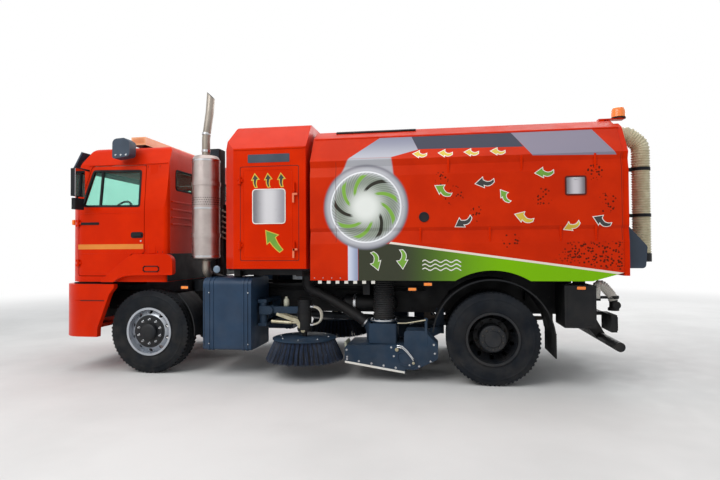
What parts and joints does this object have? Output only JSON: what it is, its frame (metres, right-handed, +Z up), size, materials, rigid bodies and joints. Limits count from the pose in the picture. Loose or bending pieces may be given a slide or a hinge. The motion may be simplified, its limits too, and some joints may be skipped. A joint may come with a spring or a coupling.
{
  "type": "street sweeper truck",
  "caption": "Two-axle truck with tilting cab, fan module, tipping refuse hopper, side brooms and suction nozzles for sweeping streets.",
  "frame": {"origin": "on the ground, on the centre plane, halfway between the front bumper and the rearmost hose", "axes": "+X to the rear, +Y to the truck's right, +Z up"},
  "size_m": [7.3472, 2.93, 3.5508],
  "materials": {
    "orange": "glossy orange-red coach enamel",
    "chassis_black": "satin black chassis paint",
    "trim_black": "grained black plastic",
    "blue_grey": "satin blue-grey paint",
    "stainless": "perforated stainless heat shield",
    "cast": "oiled cast iron",
    "spring_steel": "painted spring leaves",
    "wheel_silver": "silver wheel paint",
    "wheel_black": "black wheel paint",
    "tyre": "black rubber with a block tread",
    "glass": "lightly tinted safety glass",
    "lamp_clear": "clear lamp lens",
    "amber": "amber lamp lens",
    "seat_fabric": "grey woven seat cover",
    "bristle": "dark polypropylene bristles",
    "hose_rubber": "wire-wound rubber hose",
    "hose_cream": "cream ribbed suction hose",
    "rod_chrome": "hard chrome rod",
    "engine_paint": "grey engine paint"
  },
  "bodies": {
    "chassis": {"frame_rails": "chassis_black", "frame_crossmembers": "chassis_black", "engine": "cast", "front_axle": "cast", "leaf_springs": "spring_steel", "rear_axle": "cast", "exhaust_stack": "stainless", "body_subframe": "chassis_black", "module_shell": "orange", "module_engine": "engine_paint", "front_bumper": "orange", "front_lamps": "lamp_clear", "rear_underrun": "chassis_black", "mudguards": "trim_black", "side_tanks": "blue_grey", "tool_mounts": "blue_grey", "suction_hose_left": "hose_rubber", "suction_hose_right": "hose_rubber"},
    "cab": {"cab_shell": "orange", "cab_glass": "glass", "front_grille": "trim_black", "roof_light_bar": "amber", "sun_visor": "trim_black", "cab_interior": "seat_fabric", "kerb_mirrors": "blue_grey", "cab_arches": "orange"},
    "hopper": {"hopper_shell": "orange", "rear_beacons": "amber"},
    "rear_gate": {"tailgate": "orange", "wander_hose": "hose_cream"},
    "cylinder_barrel": {"tip_barrel": "chassis_black"},
    "cylinder_rod": {"tip_rod": "rod_chrome"},
    "left_steering_knuckle": {"knuckle_left": "cast"},
    "left_front_wheel": {"tyre_front_left": "tyre", "rim_front_left": "wheel_silver"},
    "left_rear_wheel": {"tyres_rear_left": "tyre", "rims_rear_left": "wheel_black"},
    "left_cab_door": {"door_left": "orange", "door_glass_left": "glass", "mirrors_left": "trim_black"},
    "left_module_door": {"module_door_left": "orange"},
    "left_broom_bracket": {"broom_bracket_left": "blue_grey"},
    "left_broom_arm": {"broom_arm_left": "blue_grey"},
    "left_broom": {"broom_brush_left": "bristle"},
    "left_nozzle": {"nozzle_left": "blue_grey"},
    "right_steering_knuckle": {"knuckle_right": "cast"},
    "right_front_wheel": {"tyre_front_right": "tyre", "rim_front_right": "wheel_silver"},
    "right_rear_wheel": {"tyres_rear_right": "tyre", "rims_rear_right": "wheel_black"},
    "right_cab_door": {"door_right": "orange", "door_glass_right": "glass", "mirrors_right": "trim_black"},
    "right_module_door": {"module_door_right": "orange"},
    "right_broom_bracket": {"broom_bracket_right": "blue_grey"},
    "right_broom_arm": {"broom_arm_right": "blue_grey"},
    "right_broom": {"broom_brush_right": "bristle"},
    "right_nozzle": {"nozzle_right": "blue_grey"}
  },
  "joints": [
    {"name": "left_steering", "type": "hinge", "parent": "chassis", "child": "left_steering_knuckle", "pos_m": [-2.425, -0.925, 0.522], "axis": [0, 0, 1], "range_deg": [-35, 35]},
    {"name": "right_steering", "type": "hinge", "parent": "chassis", "child": "right_steering_knuckle", "pos_m": [-2.425, 0.925, 0.522], "axis": [0, 0, 1], "range_deg": [-35, 35]},
    {"name": "hopper_tip", "type": "hinge", "parent": "chassis", "child": "hopper", "pos_m": [2.875, 0, 1.03], "axis": [0, 1, 0], "range_deg": [0, 50]},
    {"name": "cylinder_swing", "type": "hinge", "parent": "chassis", "child": "cylinder_barrel", "pos_m": [1.045, 0, 0.76], "axis": [0, -1, 0], "range_deg": [0, 14]},
    {"name": "cylinder_extension", "type": "slide", "parent": "cylinder_barrel", "child": "cylinder_rod", "axis": [0.9453, 0, 0.3262], "range_m": [0, 0.49]},
    {"name": "tailgate_hinge", "type": "hinge", "parent": "hopper", "child": "rear_gate", "pos_m": [3.175, 0, 2.985], "axis": [0, -1, 0], "range_deg": [0, 80]},
    {"name": "cab_tilt", "type": "hinge", "parent": "chassis", "child": "cab", "pos_m": [-3.555, 0, 1.122], "axis": [0, -1, 0], "range_deg": [0, 50]},
    {"name": "left_front_wheel_spin", "type": "hinge", "parent": "left_steering_knuckle", "child": "left_front_wheel", "pos_m": [-2.425, -1.025, 0.522], "axis": [0, 1, 0], "continuous": true},
    {"name": "left_rear_wheel_spin", "type": "hinge", "parent": "chassis", "child": "left_rear_wheel", "pos_m": [1.775, -0.9225, 0.522], "axis": [0, 1, 0], "continuous": true},
    {"name": "left_cab_door_hinge", "type": "hinge", "parent": "cab", "child": "left_cab_door", "pos_m": [-3.4, -1.18, 1.9], "axis": [0, 0, -1], "range_deg": [0, 70]},
    {"name": "left_module_door_hinge", "type": "hinge", "parent": "chassis", "child": "left_module_door", "pos_m": [-1.176, -1.27, 1.9], "axis": [0, 0, -1], "range_deg": [0, 110]},
    {"name": "left_broom_swing", "type": "hinge", "parent": "chassis", "child": "left_broom_bracket", "pos_m": [-0.985, -0.98, 0.76], "axis": [0, 0, -1], "range_deg": [0, 20]},
    {"name": "left_broom_lift", "type": "hinge", "parent": "left_broom_bracket", "child": "left_broom_arm", "pos_m": [-0.893, -0.98, 0.795], "axis": [0, 1, 0], "range_deg": [0, 13]},
    {"name": "left_broom_spin", "type": "hinge", "parent": "left_broom_arm", "child": "left_broom", "pos_m": [-0.455, -0.98, 0.46], "axis": [0, 0, 1], "continuous": true},
    {"name": "left_nozzle_lift", "type": "hinge", "parent": "chassis", "child": "left_nozzle", "pos_m": [1.185, -0.53, 0.52], "axis": [0, -1, 0], "range_deg": [0, 10], "deforming": ["suction_hose_left"]},
    {"name": "right_front_wheel_spin", "type": "hinge", "parent": "right_steering_knuckle", "child": "right_front_wheel", "pos_m": [-2.425, 1.025, 0.522], "axis": [0, 1, 0], "continuous": true},
    {"name": "right_rear_wheel_spin", "type": "hinge", "parent": "chassis", "child": "right_rear_wheel", "pos_m": [1.775, 0.9225, 0.522], "axis": [0, 1, 0], "continuous": true},
    {"name": "right_cab_door_hinge", "type": "hinge", "parent": "cab", "child": "right_cab_door", "pos_m": [-3.4, 1.18, 1.9], "axis": [0, 0, 1], "range_deg": [0, 70]},
    {"name": "right_module_door_hinge", "type": "hinge", "parent": "chassis", "child": "right_module_door", "pos_m": [-1.176, 1.27, 1.9], "axis": [0, 0, 1], "range_deg": [0, 110]},
    {"name": "right_broom_swing", "type": "hinge", "parent": "chassis", "child": "right_broom_bracket", "pos_m": [-0.985, 0.98, 0.76], "axis": [0, 0, 1], "range_deg": [0, 20]},
    {"name": "right_broom_lift", "type": "hinge", "parent": "right_broom_bracket", "child": "right_broom_arm", "pos_m": [-0.893, 0.98, 0.795], "axis": [0, 1, 0], "range_deg": [0, 13]},
    {"name": "right_broom_spin", "type": "hinge", "parent": "right_broom_arm", "child": "right_broom", "pos_m": [-0.455, 0.98, 0.46], "axis": [0, 0, 1], "continuous": true},
    {"name": "right_nozzle_lift", "type": "hinge", "parent": "chassis", "child": "right_nozzle", "pos_m": [1.185, 0.53, 0.52], "axis": [0, -1, 0], "range_deg": [0, 10], "deforming": ["suction_hose_right"]}
  ],
  "couplings": [
    {"joint": "right_steering", "follows": "left_steering", "ratio": 1},
    {"joint": "cylinder_swing", "follows": "hopper_tip", "ratio": 0.2775},
    {"joint": "cylinder_extension", "follows": "hopper_tip", "m_per_rad": 0.5575}
  ]
}
